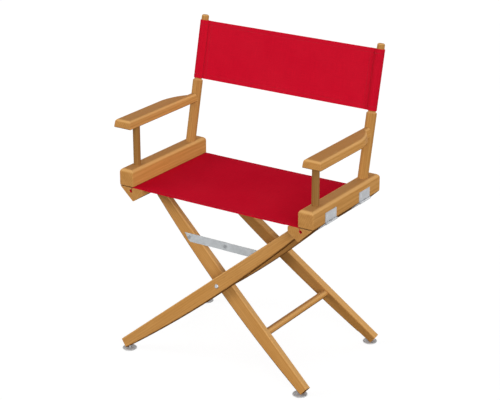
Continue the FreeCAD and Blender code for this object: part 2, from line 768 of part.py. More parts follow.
def stretcher_hole(name, side, end):
    """A blind hole in a leg's inner face for the stretcher."""
    hole = cylinder(name + "_stretcher_hole", "stretcher_width + 2 * glue_gap", "4 * cutter_spare")
    bottom = "%s + %d * glue_gap" % (stretcher_end(side, end), end)
    return place(hole, "%d * stretcher_x" % -side, bottom, "stretcher_z", "rotationx(%d * 90)" % end)


def stretcher(frame, side):
    """A dowel that joins the two legs of one frame, low down."""
    name = "stretcher_" + frame
    length = "%s - %s" % (stretcher_end(side, 1), stretcher_end(side, -1))
    rod = cylinder(name, "stretcher_width", length)
    place(rod, "%d * stretcher_x" % -side, stretcher_end(side, 1), "stretcher_z", "rotationx(90)")
    return keep(rod, name)


# ---- steel pieces --------------------------------------------------------------------------------


def glide_nail(name, side, end, width, spare):
    """The nail of a glide, or its hole when spare room is left at its top."""
    nail = cylinder(name, width, "glide_nail_top_z - glide_height + %s + glide_nail_root" % spare)
    y = leg_y_at(side, end, "glide_height")
    return place(nail, "%d * glide_x" % -side, y, "glide_height - glide_nail_root")


def glide(frame, side, label, end):
    """A round plate under a leg's tip, with a nail up into the leg."""
    name = "glide_%s_%s" % (label, frame)
    body = new_body(name + "_plate")
    profile = sketch_on(body, name + "_half", "XZ_Plane")
    radius = "glide_width / 2"
    outline(
        profile,
        [
            ("0", "0"),
            (radius + " - glide_chamfer", "0"),
            (radius, "glide_chamfer"),
            (radius, "glide_height - glide_round"),
            (radius + " - glide_round", "glide_height"),
            ("0", "glide_height"),
        ],
        arcs={3: ("glide_round", 1)},
    )
    plate = body.newObject("PartDesign::Revolution", name + "_turned")
    plate.Profile = profile
    plate.ReferenceAxis = (profile, ["V_Axis"])
    plate.Angle = 360
    place(body, "%d * glide_x" % -side, leg_y_at(side, end, "glide_height"), "0")
    nail = glide_nail(name + "_nail", side, end, "glide_nail_width", "0")
    return keep(fuse(name, [body, nail]), name)


def hinge_turn(side, leaf):
    """Turns a leaf's own plane, which runs up +Z from the pin, to where the leaf lies."""
    return "rotationz(0)" if leaf == "upper" else "rotationy(%d * -(90 + hinge_rail_slope))" % side


def hinge_leaf(name, side, leaf, hinge_way):
    """A leaf with its knuckles: the upper leaf has the two outer ones and the lower leaf the middle one."""
    middle = "rail_middle_y + %d * hinge_spacing / 2" % hinge_way
    knuckle = "hinge_length / 3"
    if leaf == "upper":
        barrel_length = knuckle + " - hinge_play / 2"
        spans = (("-hinge_length / 2", barrel_length), ("hinge_length / 6 + hinge_play / 2", barrel_length))
    else:
        spans = (("-hinge_length / 6 + hinge_play / 2", knuckle + " - hinge_play"),)
    upper = leaf == "upper"
    inner = "-hinge_knuckle_width / 2" if upper else "hinge_knuckle_width / 2 - hinge_leaf_thickness"
    clear = "hinge_knuckle_width / 2 + hinge_play"
    plate_x = inner if side > 0 else "-(%s) - hinge_leaf_thickness" % inner
    half = "-hinge_length / 2"
    pieces = [leaf_block(name + "_plate", side, leaf, middle, plate_x, clear, half, "hinge_length")]
    for number, (start, length) in enumerate(spans, 1):
        tag = "%s_knuckle_%d" % (name, number)
        pieces.append(leaf_block(tag + "_tongue", side, leaf, middle, plate_x, "0", start, length))
        barrel = cylinder(tag, "hinge_knuckle_width", length)
        far = "%s + (%s) + (%s)" % (middle, start, length)
        pieces.append(place(barrel, "%d * hinge_pin_x" % side, far, "hinge_pin_z", "rotationx(90)"))
    tools = [
        place(
            cylinder(name + "_bore", "hinge_pin_width + 2 * hinge_pin_fit", "hinge_length + cutter_spare"),
            "%d * hinge_pin_x" % side,
            middle + " + hinge_length / 2 + cutter_spare / 2",
            "hinge_pin_z",
            "rotationx(90)",
        )
    ]
    for screw_way in (-1, 1):
        along = "%s + %d * screw_spacing / 2" % (middle, screw_way)
        sink = bind(
            doc.addObject("Part::Cone", "%s_sink_%d" % (name, screw_way + 2)),
            Radius1="screw_head_width / 2 + screw_fit",
            Radius2="screw_width / 2 + screw_fit",
            Height="hinge_leaf_thickness",
        )
        tools.append(screw_place(sink, side, leaf, along, "0"))
    return cut(name, fuse(name + "_blank", pieces), tools)


def leaf_block(name, side, leaf, middle, plate_x, start, along, length):
    """A block in a leaf's own plane, from start to the leaf's edge, or to its plate when start is 0."""
    reach = "hinge_knuckle_width / 2 + hinge_play + hinge_lap"
    if start != "0":
        reach = "hinge_leaf_reach - (%s)" % start
    thing = block(name, "hinge_leaf_thickness", length, reach)
    turn = hinge_turn(side, leaf)
    shift = "vector(%s; %s; %s)" % (plate_x, along, start)
    pose = "placement(vector(%d * hinge_pin_x; %s; hinge_pin_z); %s) * placement(%s; rotationz(0))"
    thing.setExpression("Placement", formula(pose % (side, middle, turn, shift)))
    return thing


def hinge_leaves(word, side, leaf):
    """The two leaves of one kind on one side of the chair."""
    name = "%s_%s_leaves" % (word, leaf)
    leaves = [
        hinge_leaf("%s_%s_leaf_%s" % (word, leaf, tag), side, leaf, way)
        for tag, way in (("front", -1), ("rear", 1))
    ]
    return keep(fuse(name, leaves), name)


def hinge_pins(word, side):
    """The pins of the two hinges on one side of the chair."""
    name = word + "_hinge_pins"
    pins = []
    for tag, way in (("front", -1), ("rear", 1)):
        pin = cylinder("%s_%s" % (name, tag), "hinge_pin_width", "hinge_length")
        far = "rail_middle_y + %d * hinge_spacing / 2 + hinge_length / 2" % way
        pins.append(place(pin, "%d * hinge_pin_x" % side, far, "hinge_pin_z", "rotationx(90)"))
    return keep(fuse(name, pins), name)


def hinge_screws(word, side, leaf):
    """Countersunk screws, flush in the leaves."""
    name = "%s_%s_screws" % (word, leaf)
    screws = []
    for label, along in screw_rows():
        tag = "%s_%s" % (name, label)
        head = bind(
            doc.addObject("Part::Cone", tag + "_head"),
            Radius1="screw_head_width / 2",
            Radius2="screw_width / 2",
            Height="hinge_leaf_thickness",
        )
        shank = cylinder(tag + "_shank", "screw_width", "screw_length")
        screws += [screw_place(piece, side, leaf, along, "0") for piece in (head, shank)]
    return keep(fuse(name, screws), name)


def brace_at(depth, along="0", rise="0"):
    """Position formulas in the brace's plane; depth is measured forward from the inner leg's front face."""
    y = "-inner_leg_y - (leg_thickness / 2 + %s) * cos(leg_splay) + (%s) * sin(leg_splay)"
    z = "pivot_z + (leg_thickness / 2 + %s) * sin(leg_splay) + (%s) * cos(leg_splay)"
    lift = "(brace_z - pivot_z) / cos(leg_splay) + (%s)" % rise
    return along, y % (depth, lift), z % (depth, lift)


def brace_link(word, side, depth):
    """A flat strap: cut at a slant by its leg pivot, round past the middle rivet. depth is its rear face."""
    name = "brace_link_" + word
    body = new_body(name + "_strap")
    profile = sketch_on(body, name + "_outline", "XY_Plane")
    half = "brace_depth / 2"
    outline(
        profile,
        [
            ("%d * (brace_x - brace_end_low)" % side, "-" + half),
            ("%d * (brace_x + brace_end_high)" % side, half),
            ("%d * -brace_overlap" % side, half),
            ("%d * -brace_overlap" % side, "-" + half),
        ],
        arcs={2: ("brace_end_radius", side)},
    )
    pad(body, name + "_pad", profile, "brace_thickness")
    place(body, *brace_at(depth), leg_turn(-1))
    holes = []
    for tag, along in (("end", "%d * brace_x" % side), ("middle", "0")):
        width, length = "brace_rivet_width + 2 * rivet_fit", "brace_thickness + 2 * cutter_margin"
        hole = cylinder("%s_%s_hole" % (name, tag), width, length)
        holes.append(place(hole, *brace_at("(%s) - cutter_margin" % depth, along), leg_turn(-1)))
    return keep(cut(name, body, holes), name)


def brace_rivet(name, along, bottom, length, heads):
    """A rivet across the brace: heads are the depths of a head's rear face."""
    shank = cylinder(name + "_shank", "brace_rivet_width", length)
    pieces = [place(shank, *brace_at(bottom, along), leg_turn(-1))]
    for number, depth in enumerate(heads, 1):
        head = cylinder("%s_head_%d" % (name, number), "brace_rivet_head", "brace_rivet_rise")
        pieces.append(place(head, *brace_at(depth, along), leg_turn(-1)))
    return keep(fuse(name, pieces) if heads else pieces[0], name)


def brace_screw_hole(name, side):
    """The blind hole in a front leg for the brace's end pivot."""
    name += "_brace_hole"
    if side > 0:
        face = "(outer_leg_y - inner_leg_y) * cos(leg_splay) - leg_thickness"
        hole = cylinder(name, "brace_rivet_width + 2 * rivet_fit", "cutter_spare")
        return place(hole, *brace_at(face + " - screw_spare", "brace_x"), leg_turn(-1))
    hole = cylinder(name, "brace_rivet_width + 2 * glue_gap", "brace_screw_depth + screw_spare")
    return place(hole, *brace_at("(-brace_screw_depth - glue_gap)", "-brace_x"), leg_turn(-1))


def brace():
    """The folding brace in front of the inner front leg and behind the outer one."""
    near = "brace_gap"
    near_front = "(brace_gap + brace_thickness)"
    far = "(brace_gap + brace_thickness + brace_strap_gap)"
    far_front = "(brace_gap + 2 * brace_thickness + brace_strap_gap)"
    play = "brace_rivet_play"
    brace_link("left", -1, near)
    brace_link("right", 1, far)
    end_head = "(%s + %s)" % (near_front, play)
    end_length = "brace_screw_depth + %s" % end_head
    brace_rivet("brace_end_rivet", "-brace_x", "(-brace_screw_depth)", end_length, [end_head])
    rear_head = "(%s - %s - brace_rivet_rise)" % (near, play)
    front_head = "(%s + %s)" % (far_front, play)
    middle_length = "%s - %s" % (front_head, rear_head)
    brace_rivet("brace_middle_rivet", "0", rear_head, middle_length, [rear_head, front_head])
    pin_length = "brace_pin_rear + brace_thickness + brace_pin_front"
    brace_rivet("brace_end_pin", "brace_x", "(%s - brace_pin_rear)" % far, pin_length, [])


# ---- canvas --------------------------------------------------------------------------------------


def seat_canvas():
    """A taut sheet between the seat rails and the hinge rails, dipping into the slots around its rods."""
    name = "seat_canvas"
    run = "rail_length - 2 * canvas_margin"
    front = "rail_middle_y - rail_length / 2 + canvas_margin"
    rear = "rail_middle_y + rail_length / 2 - canvas_margin"
    level = "(rail_bottom_z + hinge_rail_top_z) / 2 - canvas_thickness / 2"
    sheet_piece = block(name + "_sheet", "2 * (hem_mouth_x + seat_sheet_lap)", run, "canvas_thickness")
    pieces = [place(sheet_piece, "-hem_mouth_x - seat_sheet_lap", front, level)]
    bores = []
    for word, side in SIDES.items():
        tag = "%s_%s" % (name, word)
        tail_body = new_body(tag + "_tail")
        tail = sketch_on(tail_body, tag + "_tail_section", "XZ_Plane", "-(rail_middle_y)")
        mouth = "%d * (hem_mouth_x %s)"
        deep = "%d * (hem_channel_x - hem_neck_shift %s)"
        outline(
            tail,
            [
                (deep % (side, "- canvas_thickness / 2"), "hem_channel_z + hem_neck_rise"),
                (deep % (side, "+ canvas_thickness / 2"), "hem_channel_z + hem_neck_rise"),
                (mouth % (side, "+ canvas_thickness / 2"), level + " + canvas_thickness"),
                (mouth % (side, "- canvas_thickness / 2"), level + " + canvas_thickness"),
            ],
        )
        pad(tail_body, tag + "_tail_pad", tail, run, symmetric=True)
        pieces.append(tail_body)
        spot = ("%d * hem_channel_x" % side, rear, "hem_channel_z", "rotationx(90)")
        pieces.append(place(cylinder(tag + "_hem", "hem_width", run), *spot))
        bore = cylinder(tag + "_bore", "hem_bore_width", "rail_length + cutter_spare")
        bores.append(place(bore, spot[0], rear + " + cutter_spare / 2", spot[2], spot[3]))
    return keep(cut(name, fuse(name + "_whole", pieces), bores), name)


def seat_rod(word, side):
    """A rod inside the seat's hem, which holds it in the slot."""
    name = word + "_seat_rod"
    rod = cylinder(name, "rod_width", "rail_length - 2 * rod_margin")
    rear = "rail_middle_y + rail_length / 2 - rod_margin"
    return keep(place(rod, "%d * hem_channel_x" % side, rear, "hem_channel_z", "rotationx(90)"), name)


def back_canvas():
    """A taut panel between the back posts, with a sleeve around each."""
    name = "back_canvas"
    start, depth = "back_canvas_start", "back_canvas_depth"
    bore_start, bore_depth = start + " - cutter_spare / 2", depth + " + cutter_spare"
    pieces = []
    bores = []
    for word, side in SIDES.items():
        tag = "%s_%s" % (name, word)
        pieces.append(post_cutter(tag + "_sleeve", side, "sleeve_width", start, depth))
        bores.append(post_cutter(tag + "_bore", side, "sleeve_bore_width", bore_start, bore_depth))
    panel = block(name + "_panel", "2 * back_post_x", "back_canvas_thickness", depth)
    forward = "(back_canvas_forward + back_canvas_thickness / 2)"
    pose = (
        "placement(vector(-back_post_x; back_post_y; rail_bottom_z + rail_depth); rotationx(-back_post_rake))"
        " * placement(vector(0; -%s; back_canvas_start); rotationz(0))" % forward
    )
    panel.setExpression("Placement", formula(pose))
    return keep(cut(name, fuse(name + "_whole", pieces + [panel]), bores), name)


# ---- the chair -----------------------------------------------------------------------------------


def build():
    for word, side in SIDES.items():
        seat_rail(word, side)
        front_post(word, side)
        back_post(word, side)
        arm(word, side)
        arm_dowel(word, side)
        hinge_rail(word, side)
        hinge_leaves(word, side, "upper")
        hinge_leaves(word, side, "lower")
        hinge_screws(word, side, "upper")
        hinge_screws(word, side, "lower")
        hinge_pins(word, side)
        seat_rod(word, side)
    for frame, side in (("a", 1), ("b", -1)):
        for label, end in (("front", -1), ("rear", 1)):
            leg(frame, side, label, end)
            glide(frame, side, label, end)
        leg_dowels(frame, side)
        stretcher(frame, side)
    for label, end in (("front", -1), ("rear", 1)):
        pivot_rivet(label, end)
        pivot_spacer(label, end)
    brace()
    seat_canvas()
    back_canvas()
    doc.recompute()


def check():
    """Stops before anything is written if an object failed or a sub-part's shape is unsound."""
    for thing in doc.Objects:
        if "Invalid" in thing.State or "Error" in thing.State:
            raise RuntimeError("%s failed: %s" % (thing.Label, thing.State))
    for thing in subparts:
        if thing.Shape.isNull() or not thing.Shape.isValid():
            raise RuntimeError(thing.Label + " has no sound shape")


def write():
    os.makedirs("parts", exist_ok=True)
    for thing in subparts:
        thing.Shape.exportStep("parts/%s.step" % thing.Label)
        print(thing.Label, len(thing.Shape.Solids), round(thing.Shape.Volume))


build()
check()
write()
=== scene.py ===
"""Looks of a folding director's chair: pale matt wood, red canvas, zinc fittings, white surroundings."""

import json
import math

import bpy
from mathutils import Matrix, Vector

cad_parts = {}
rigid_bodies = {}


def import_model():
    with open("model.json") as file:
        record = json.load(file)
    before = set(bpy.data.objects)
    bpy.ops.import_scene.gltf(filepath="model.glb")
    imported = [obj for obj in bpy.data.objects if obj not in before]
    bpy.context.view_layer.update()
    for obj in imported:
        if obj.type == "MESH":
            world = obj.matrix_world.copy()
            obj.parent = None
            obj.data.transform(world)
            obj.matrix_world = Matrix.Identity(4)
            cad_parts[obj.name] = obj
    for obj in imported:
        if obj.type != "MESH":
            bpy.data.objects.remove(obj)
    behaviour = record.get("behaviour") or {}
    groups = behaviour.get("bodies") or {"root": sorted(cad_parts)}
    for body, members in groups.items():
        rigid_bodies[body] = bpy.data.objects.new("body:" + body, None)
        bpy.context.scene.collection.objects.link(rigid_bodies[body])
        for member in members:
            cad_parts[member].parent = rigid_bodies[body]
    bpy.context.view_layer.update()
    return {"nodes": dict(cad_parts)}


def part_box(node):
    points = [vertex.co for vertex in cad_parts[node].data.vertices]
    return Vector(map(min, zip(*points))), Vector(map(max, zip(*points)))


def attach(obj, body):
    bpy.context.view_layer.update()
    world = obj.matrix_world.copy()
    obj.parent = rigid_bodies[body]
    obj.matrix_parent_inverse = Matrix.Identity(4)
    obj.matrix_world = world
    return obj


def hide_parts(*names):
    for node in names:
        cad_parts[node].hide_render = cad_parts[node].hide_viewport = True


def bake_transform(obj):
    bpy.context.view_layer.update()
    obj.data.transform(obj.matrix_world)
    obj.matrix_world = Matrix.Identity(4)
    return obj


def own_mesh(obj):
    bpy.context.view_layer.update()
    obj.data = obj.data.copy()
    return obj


for spare in list(bpy.data.objects):
    bpy.data.objects.remove(spare)
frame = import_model()

MM = 0.001
SIDES = (("left", -1), ("right", 1))

# camera: lens and sensor in millimetres, place in metres, angles in degrees
LENS = 111.3
SENSOR = 36
CAMERA_PLACE = (2.091, -3.195, 1.888)
CAMERA_TILT = 69.03
CAMERA_TURN = 33.22

# lamps: name, where the light comes from, strength, and how wide the lamp is in degrees
LAMPS = (
    ("left_lamp", (-0.8, -0.52, 0.28), 1.35, 30),
    ("front_lamp", (0.55, -0.75, 0.36), 1.05, 40),
    ("right_lamp", (0.9, -0.42, 0.2), 1.2, 30),
    ("rear_lamp", (0.1, 0.95, 0.3), 0.8, 40),
)
FILL_STRENGTH = 0.36

# floor: half its side, its greys as the chair sees it, and the grey and glow that the camera sees
FLOOR_HALF = 14.0
FLOOR_GREYS = (0.23, 0.25)
SEEN_FLOOR_GREY = 0.2
SEEN_FLOOR_GLOW = 0.88

# colours as they show on a screen, from 0 to 255
WOOD_PALE = (210, 157, 92)
WOOD_DEEP = (172, 118, 60)
WOOD_PATCH = (196, 136, 64)
WOOD_PORE = (120, 74, 36)
WOOD_END_GRAIN = (139, 88, 45)
# painted light and shade: slopes painted paler, tops and undersides painted darker
WOOD_SLOPE_PAINTED_LIGHT = (234, 184, 118)
WOOD_TOP_PAINTED_SHADE = (168, 112, 61)
WOOD_UNDERSIDE_PAINTED_SHADE = (108, 66, 26)
# outside edges: wear, and a painted highlight on the roundings
WOOD_EDGE_WEAR_AND_HIGHLIGHT = (228, 178, 120)
SEAT_RED = (214, 4, 40)
BACK_RED = (208, 16, 43)
THREAD_RED = (150, 14, 30)
PLATE_GREY = (190, 192, 195)
STRAP_GREY = (168, 171, 173)
RIVET_GREY = (140, 142, 145)
GLIDE_GREY = (196, 196, 197)
STEEL_SPECK = (96, 98, 102)
STEEL_RUBBED = (226, 228, 230)

# wood: how light the parts are, the rings in radians per metre, and its relief
UPRIGHT_TONE = 0.57
RAKED_TONE = 0.86
LEG_TONE = 0.93
RING_TURN = 1150.0
RING_DRIFT = 26.0
WOOD_RELIEF = 0.25 * MM
WOOD_EDGE = 2.2 * MM
WOOD_GLOSS = 0.01

# cloth and thread surfaces
WEAVE_PITCH = 0.75 * MM
WEAVE_RELIEF = 0.22 * MM
CLOTH_EDGE = 1.0 * MM
TWIST_RELIEF = 0.1 * MM

# steel surfaces
STEEL_RELIEF = 0.1 * MM
STEEL_EDGE = 0.6 * MM

# seat canvas; a wave's turn is in radians per metre and its start in radians
SEAT_CLOTH = 1.1 * MM
SEAT_HEM = 13 * MM
SEAT_HEM_EXTRA = 0.8 * MM
SEAT_SAG = 1.8 * MM
EDGE_SAG_LOSS = 0.45
ROD_TO_CLOTH = 0.7 * MM
BEND_RADIUS = 0.95 * MM
MOUTH_SHIFT = 4.56 * MM
LOOP_OPENING = 32
NECK_RISE = 6.2 * MM
HEM_END_SINK = 1.2 * MM
NECK_GAP = 0.1 * MM
RAIL_CLEARANCE = 3 * MM
FREE_BLEND = 8 * MM
RIPPLE = 0.25 * MM
RIPPLE_TURN = 75
RIPPLE_START = 1.3
RIPPLE_REACH = 45 * MM

# back canvas: where its foot is, from the origin and up along the posts from the seat rails' tops
POST_RAKE = 13
POST_FOOT_Y = 115.1 * MM
BACK_FOOT_UP = 174.8 * MM
BACK_DEPTH = 159.5 * MM
BACK_CLOTH = 1.2 * MM
BACK_HEM = 14 * MM
BACK_HEM_EXTRA = 0.7 * MM
LOOP_RADIUS = 11.6 * MM
SEAM_TO_POST = 13.4 * MM
FLAP = 15 * MM
FLAP_GAP = 0.1 * MM
PANEL_FORWARD = 2 * MM
PANEL_SLACK = 0.4 * MM
SLACK_TURN_ACROSS = 21
SLACK_START_ACROSS = 0.6
SLACK_TURN_UP = 14
SLACK_START_UP = 0.4

# edges and hems of both
HEM_SLOPE = 0.5 * MM
LIP_WIDTH = 0.8 * MM
LIP_THICKNESS = 0.35

# stitching
STITCH_PITCH = 3.4 * MM
STITCH_LENGTH = 2.5 * MM
STITCH_RADIUS = 0.3 * MM
STITCH_SIDES = 6
# along a stitch, in its lengths; out of the cloth and thick, in its radii
STITCH_RINGS = ((-0.5, -0.7, 0.55), (-0.25, 0.35, 1.0), (0.25, 0.35, 1.0), (0.5, -0.7, 0.55))
STITCH_INSET = 2.5 * MM
STITCH_DIP = 0.25 * MM
STITCH_DIP_WIDTH = 1.4 * MM
SEAM_ROW = 1.5 * MM
SEAM_DIP_REACH = 6 * MM
ROW_END = 3 * MM
PANEL_ROW_END = 1 * MM
SLEEVE_ROW_START = 4 * MM

# how finely the cloth is drawn
FINE_STEP = 1 * MM
NECK_STEP = 1.5 * MM
HEM_STEP = 2 * MM
NEAR_STEP = 3 * MM
COARSE_STEP = 6 * MM
EDGE_STEP = 0.4 * MM
FINE_HEM_WIDTH = 18 * MM
FINE_PANEL_WIDTH = 20 * MM
NEAR_SEAT_WIDTH = 30 * MM
SAME_POINT = 0.02 * MM
A_BIT_AHEAD = 0.1 * MM
LOOP_ANGLE_STEP = 12
BEND_ANGLE_STEP = 15
SLEEVE_ANGLE_STEP = 9
SHARP_ANGLE = 50


# ---- material graphs ------------------------------------------------------------------------------


def linear(shown):
    """A colour as it shows on a screen, from 0 to 255, as linear light."""
    shares = [c / 255 for c in shown]
    return [c / 12.92 if c <= 0.04045 else ((c + 0.055) / 1.055) ** 2.4 for c in shares] + [1.0]


def toned(colour, tone):
    """A colour made darker or lighter."""
    return [c * tone for c in colour[:3]] + [1.0]


def grey(level):
    """An even grey, in linear light."""
    return (level, level, level, 1)


class Graph:
    """A material's or the world's node tree, with short calls to fill it."""

    def __init__(self, owner):
        owner.use_nodes = True
        self.tree = owner.node_tree
        self.tree.nodes.clear()

    def add(self, kind, inputs=None, **settings):
        """A new node; inputs maps its sockets to values or to other nodes' sockets."""
        node = self.tree.nodes.new("ShaderNode" + kind)
        for key, value in settings.items():
            setattr(node, key, value)
        for key, value in (inputs or {}).items():
            self.feed(node.inputs[key], value)
        return node

    def feed(self, socket, value):
        """Gives a socket a value, or links it to another node's socket."""
        if isinstance(value, bpy.types.NodeSocket):
            self.tree.links.new(value, socket)
        else:
            socket.default_value = value

    def math(self, operation, first, second=0.0):
        """The result of one sum."""
        return self.add("Math", {0: first, 1: second}, operation=operation).outputs[0]

    def mix(self, factor, first, second):
        """Two colours mixed."""
        node = self.add("Mix", None, data_type="RGBA")
        for key, value in {"Factor": factor, "A": first, "B": second}.items():
            self.feed(next(s for s in node.inputs if s.name == key and s.enabled), value)
        return next(s for s in node.outputs if s.enabled)

    def spread(self, value, low, high, to_low=0.0, to_high=1.0):
        """A value's range from low to high, laid on another range."""
        inputs = {"Value": value, "From Min": low, "From Max": high, "To Min": to_low, "To Max": to_high}
        return self.add("MapRange", inputs).outputs["Result"]

    def noise(self, where, scale, stretch=(1, 1, 1), detail=3.0, roughness=0.5):
        """Noise, finer by scale and drawn out by stretch."""
        laid = self.add("Mapping", {"Vector": where, "Scale": stretch})
        inputs = {"Vector": laid.outputs[0], "Scale": scale, "Detail": detail, "Roughness": roughness}
        return self.add("TexNoise", inputs).outputs["Fac"]

    def bump(self, height, strength, distance):
        """The normal that a height gives, which is from 0 to 1 over that distance."""
        return self.add("Bump", {"Height": height, "Strength": strength, "Distance": distance}).outputs[0]

    def finish(self, shader):
        """The shader goes to the material's output."""
        self.add("OutputMaterial", {"Surface": shader})


def edge_mask(g, radius):
    """1 along outside edges, 0 on flat and inside ones."""
    rounded = g.add("Bevel", {"Radius": radius}, samples=4).outputs["Normal"]
    flat = g.add("NewGeometry").outputs["Normal"]
    along = g.add("VectorMath", {0: rounded, 1: flat}, operation="DOT_PRODUCT").outputs["Value"]
    return g.spread(along, 0.995, 0.86)


def wood_figure(g, where):
    """Growth rings, fibres, streaks, pores and broad patches, each from 0 to 1; the grain runs along Z."""
    drift = g.noise(where, 14, (1, 1, 0.12), 2.0)
    apart = g.add("SeparateXYZ", {"Vector": where})
    across = g.math("ADD", apart.outputs["X"], g.math("MULTIPLY", apart.outputs["Y"], 0.45))
    phase = g.math("ADD", g.math("MULTIPLY", across, RING_TURN), g.math("MULTIPLY", drift, RING_DRIFT))
    rings = g.spread(g.math("SINE", phase), -1, 1)
    fibres = g.noise(where, 420, (1, 1, 0.03), 5.0, 0.62)
    streaks = g.noise(where, 95, (1, 1, 0.03), 3.0, 0.55)
    pores = g.spread(g.noise(where, 900, (1, 1, 0.045), 2.0, 0.5), 0.66, 0.76)
    patches = g.noise(where, 9, (1, 1, 0.35), 3.0)
    return rings, fibres, streaks, pores, patches


def wood_colour(g, rings, fibres, streaks, pores, patches, tone):
    """The wood's colour over its length, before its end grain is tinted, light and shade are painted by
    slope, and its edges get wear and a painted highlight.
    """
    share = g.math("ADD", g.math("MULTIPLY", rings, 0.2), g.math("MULTIPLY", streaks, 0.85))
    share = g.math("ADD", share, g.math("MULTIPLY", g.spread(fibres, 0.3, 0.7), 0.3))
    pale, deep = toned(linear(WOOD_PALE), tone), toned(linear(WOOD_DEEP), tone)
    colour = g.mix(g.spread(share, 0.35, 1.15), pale, deep)
    colour = g.mix(g.spread(patches, 0.35, 0.7, 0.0, 0.4), colour, toned(linear(WOOD_PATCH), tone))
    return g.mix(g.math("MULTIPLY", pores, 0.45), colour, linear(WOOD_PORE))


def painted_light_by_slope(g, colour, upward):
    """Painted light and shade by slope: slopes painted paler, tops and undersides painted darker."""
    colour = g.mix(g.spread(upward, 0.25, 0.6, 0.0, 0.55), colour, linear(WOOD_SLOPE_PAINTED_LIGHT))
    colour = g.mix(g.spread(upward, 0.84, 0.99, 0.0, 0.62), colour, linear(WOOD_TOP_PAINTED_SHADE))
    return g.mix(g.spread(upward, -0.08, -0.45, 0.0, 0.9), colour, linear(WOOD_UNDERSIDE_PAINTED_SHADE))


def wood(name, along, shift=(0.0, 0.0, 0.0), tone=1.0):
    """Pale, nearly matt hardwood; its grain runs along that direction."""
    material = bpy.data.materials.new(name)
    g = Graph(material)
    place = g.add("TexCoord")
    turn = Vector(along).rotation_difference(Vector((0, 0, 1))).to_euler()
    lined = g.add("Mapping", {"Vector": place.outputs["Object"], "Rotation": turn, "Location": shift})
    where = lined.outputs[0]
    rings, fibres, streaks, pores, patches = wood_figure(g, where)
    colour = wood_colour(g, rings, fibres, streaks, pores, patches, tone)

    facing = g.add("VectorMath", {0: place.outputs["Normal"], 1: along}, operation="DOT_PRODUCT")
    end_grain = g.spread(g.math("ABSOLUTE", facing.outputs["Value"]), 0.72, 0.95)
    colour = g.mix(g.math("MULTIPLY", end_grain, 0.15), colour, linear(WOOD_END_GRAIN))
    upward = g.add("SeparateXYZ", {"Vector": place.outputs["Normal"]}).outputs["Z"]
    # painted light and shade by the way the surface faces: paler slopes, darker tops and undersides
    colour = painted_light_by_slope(g, colour, upward)
    # outside edges paler: wear, and a painted highlight where the roundings catch the light
    edge_wear_and_highlight = g.spread(g.noise(where, 60, (1, 1, 0.2)), 0.35, 0.65, 0.25, 0.6)
    colour = g.mix(g.math("MULTIPLY", edge_mask(g, WOOD_EDGE), edge_wear_and_highlight), colour, linear(WOOD_EDGE_WEAR_AND_HIGHLIGHT))

    height = g.math("ADD", g.math("MULTIPLY", fibres, 0.5), g.math("MULTIPLY", rings, 0.12))
    height = g.math("SUBTRACT", height, g.math("MULTIPLY", pores, 0.5))
    rough = g.spread(g.math("ADD", fibres, patches), 0.7, 1.3, 0.40, 0.56)
    look = {"Base Color": colour, "Roughness": rough, "Normal": g.bump(height, 0.35, WOOD_RELIEF)}
    look.update({"IOR": 1.48, "Specular IOR Level": g.spread(upward, -0.3, 0.0, 0.0, WOOD_GLOSS)})
    g.finish(g.add("BsdfPrincipled", look).outputs[0])
    return material


def thread_height(g, here, over):
    """How high one set of threads stands at here, which counts metres across them."""
    turn = g.math("MULTIPLY", here, math.pi / WEAVE_PITCH)
    ridge = g.math("ABSOLUTE", g.math("SINE", turn))
    return g.math("MULTIPLY", g.math("POWER", ridge, 0.6), over)


def half_pitch_wave(g, here):
    """A wave from -1 to 1 across the threads, which is 0 on the middle of each."""
    shifted = g.math("ADD", here, WEAVE_PITCH / 2)
    return g.math("SINE", g.math("MULTIPLY", shifted, math.pi / WEAVE_PITCH))


def weave(g, across, along):
    """The height of plain-woven threads, which pass over and under one another."""
    woven = g.math("MULTIPLY", half_pitch_wave(g, across), half_pitch_wave(g, along))
    over = g.spread(woven, -0.35, 0.35)
    warp = thread_height(g, across, g.spread(over, 0, 1, 0.45, 1.0))
    weft = thread_height(g, along, g.spread(over, 0, 1, 1.0, 0.45))
    return g.math("MAXIMUM", warp, weft)


def canvas(name, colour):
    """Plain-woven cotton canvas; its threads follow the cloth map, which is in metres."""
    material = bpy.data.materials.new(name)
    g = Graph(material)
    cloth = g.add("UVMap", None, uv_map="cloth").outputs["UV"]
    apart = g.add("SeparateXYZ", {"Vector": cloth})
    height = weave(g, apart.outputs["X"], apart.outputs["Y"])
    slubs_across = g.noise(cloth, 900, (1, 0.03, 1), 3.0, 0.6)
    slubs_along = g.noise(cloth, 900, (0.03, 1, 1), 3.0, 0.6)
    slubs = g.math("ADD", slubs_across, slubs_along)
    fade = g.noise(cloth, 7, (1, 1, 1), 4.0, 0.55)

    deep = toned(colour, 0.62)
    pale = [min(c * 1.12 + 0.012, 1.0) for c in colour[:3]] + [1.0]
    tint = g.mix(g.spread(fade, 0.3, 0.7, 0.0, 0.35), colour, pale)
    tint = g.mix(g.spread(slubs, 0.8, 1.2, 0.35, 0.0), tint, deep)
    # painted shade: the gaps between the threads are painted darker
    tint = g.mix(g.spread(height, 0.2, 0.9, 0.5, 0.0), tint, deep)
    tint = g.mix(g.math("MULTIPLY", edge_mask(g, CLOTH_EDGE), 0.3), tint, pale)

    relief = g.math("ADD", height, g.math("MULTIPLY", slubs, 0.25))
    rough = g.spread(slubs, 0.8, 1.2, 0.78, 0.9)
    look = {"Base Color": tint, "Roughness": rough, "Normal": g.bump(relief, 0.5, WEAVE_RELIEF)}
    look.update({"Specular IOR Level": 0.0, "Sheen Weight": 0.01, "Sheen Roughness": 0.5})
    g.finish(g.add("BsdfPrincipled", look).outputs[0])
    return material


